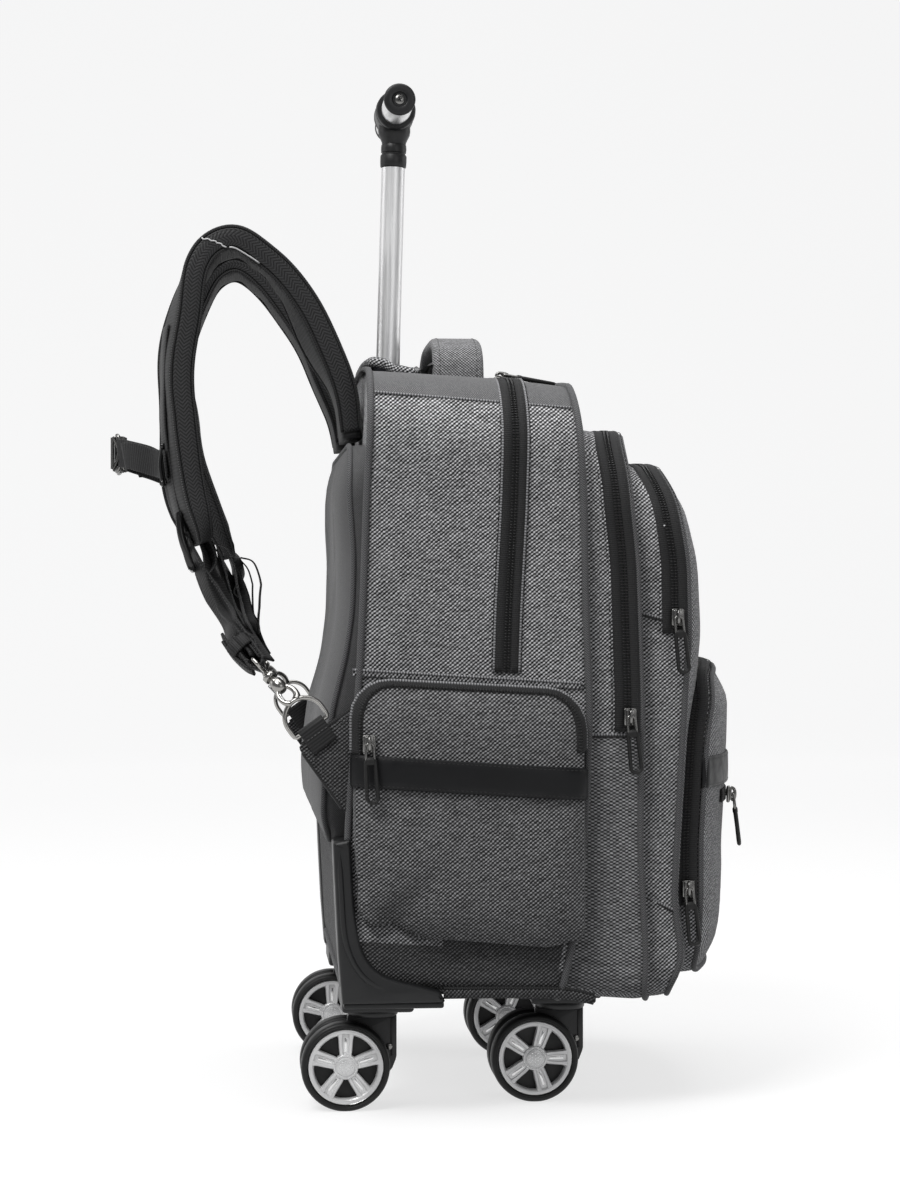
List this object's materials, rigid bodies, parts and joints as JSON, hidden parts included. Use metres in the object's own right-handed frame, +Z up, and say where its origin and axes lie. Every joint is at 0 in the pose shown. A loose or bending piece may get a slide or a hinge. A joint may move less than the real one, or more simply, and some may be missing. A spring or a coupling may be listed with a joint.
{
  "type": "wheeled backpack",
  "caption": "Rolling backpack with padded straps, zipped front and side pockets, spinner casters and a telescopic handle with a cross grip.",
  "frame": {"origin": "on the floor under the middle of the bag's box", "axes": "+Z up, pockets facing -Y, the wearer's back on +Y, width along X"},
  "size_m": [0.3662, 0.447, 0.7044],
  "materials": {
    "grey_cloth": "coarse two-tone charcoal weave",
    "pad_cloth": "fine smooth charcoal knit",
    "black_cloth": "ribbed webbing, air mesh and zip tape",
    "black_plastic": "moulded, fine satin grain",
    "dark_leather": "smooth synthetic leather with stitched edges",
    "tyre_rubber": "matt rubber",
    "silver_plastic": "silver lacquer",
    "pole_aluminium": "satin anodised",
    "nickel": "dark nickel plating"
  },
  "bodies": {
    "bag": {"back_pad": "pad_cloth", "base_panel": "black_plastic", "corner_guard_left": "black_plastic", "corner_guard_right": "black_plastic", "d_ring_left": "nickel", "d_ring_right": "nickel", "front_caster_seat_left": "black_plastic", "front_caster_seat_right": "black_plastic", "front_compartment": "grey_cloth", "front_zip": "black_cloth", "grab_handle": "pad_cloth", "guide_tube": "black_plastic", "ladder_lock_left": "black_plastic", "ladder_lock_right": "black_plastic", "lower_band": "dark_leather", "lower_pocket": "grey_cloth", "lower_zip": "black_cloth", "main_body": "grey_cloth", "main_zip": "black_cloth", "middle_compartment": "grey_cloth", "rear_apron": "grey_cloth", "shoulder_pad_left": "black_cloth", "shoulder_pad_right": "black_cloth", "side_band_left": "dark_leather", "side_band_right": "dark_leather", "side_pocket_left": "grey_cloth", "side_pocket_right": "grey_cloth", "side_wing_left": "grey_cloth", "side_wing_right": "grey_cloth", "side_zip_left": "black_cloth", "side_zip_right": "black_cloth", "small_zip": "black_cloth", "snap_hook_left": "nickel", "snap_hook_right": "nickel", "sternum_buckle": "black_plastic", "sternum_strap": "black_cloth", "strap_webbing_left": "black_cloth", "strap_webbing_right": "black_cloth", "upper_zip": "black_cloth"},
    "handle": {"pole": "pole_aluminium", "grip_hub": "black_plastic", "grip_tube": "pole_aluminium", "end_cap_left": "black_plastic", "end_cap_right": "black_plastic"},
    "fork_rear_left": {"fork_rear_left": "black_plastic"},
    "wheels_rear_left": {"rims_rear_left": "silver_plastic", "tyre_outer_rear_left": "tyre_rubber", "tyre_inner_rear_left": "tyre_rubber"},
    "fork_rear_right": {"fork_rear_right": "black_plastic"},
    "wheels_rear_right": {"rims_rear_right": "silver_plastic", "tyre_outer_rear_right": "tyre_rubber", "tyre_inner_rear_right": "tyre_rubber"},
    "fork_front_left": {"fork_front_left": "black_plastic"},
    "wheels_front_left": {"rims_front_left": "silver_plastic", "tyre_outer_front_left": "tyre_rubber", "tyre_inner_front_left": "tyre_rubber"},
    "fork_front_right": {"fork_front_right": "black_plastic"},
    "wheels_front_right": {"rims_front_right": "silver_plastic", "tyre_outer_front_right": "tyre_rubber", "tyre_inner_front_right": "tyre_rubber"}
  },
  "joints": [
    {"name": "handle_slide", "type": "slide", "parent": "bag", "child": "handle", "axis": [0, -0.0272, 0.9996], "range_m": [-0.145, 0.195]},
    {"name": "swivel_rear_left", "type": "hinge", "parent": "bag", "child": "fork_rear_left", "pos_m": [-0.11, 0.04595, 0.064], "axis": [0, 0, 1], "continuous": true},
    {"name": "wheel_spin_rear_left", "type": "hinge", "parent": "fork_rear_left", "child": "wheels_rear_left", "pos_m": [-0.11, 0.06495, 0.02942], "axis": [1, 0, 0], "continuous": true},
    {"name": "swivel_rear_right", "type": "hinge", "parent": "bag", "child": "fork_rear_right", "pos_m": [0.11, 0.04595, 0.064], "axis": [0, 0, 1], "continuous": true},
    {"name": "wheel_spin_rear_right", "type": "hinge", "parent": "fork_rear_right", "child": "wheels_rear_right", "pos_m": [0.11, 0.06495, 0.02942], "axis": [1, 0, 0], "continuous": true},
    {"name": "swivel_front_left", "type": "hinge", "parent": "bag", "child": "fork_front_left", "pos_m": [-0.088, -0.08405, 0.064], "axis": [0, 0, 1], "continuous": true},
    {"name": "wheel_spin_front_left", "type": "hinge", "parent": "fork_front_left", "child": "wheels_front_left", "pos_m": [-0.088, -0.06505, 0.02942], "axis": [1, 0, 0], "continuous": true},
    {"name": "swivel_front_right", "type": "hinge", "parent": "bag", "child": "fork_front_right", "pos_m": [0.088, -0.08405, 0.064], "axis": [0, 0, 1], "continuous": true},
    {"name": "wheel_spin_front_right", "type": "hinge", "parent": "fork_front_right", "child": "wheels_front_right", "pos_m": [0.088, -0.06505, 0.02942], "axis": [1, 0, 0], "continuous": true}
  ]
}
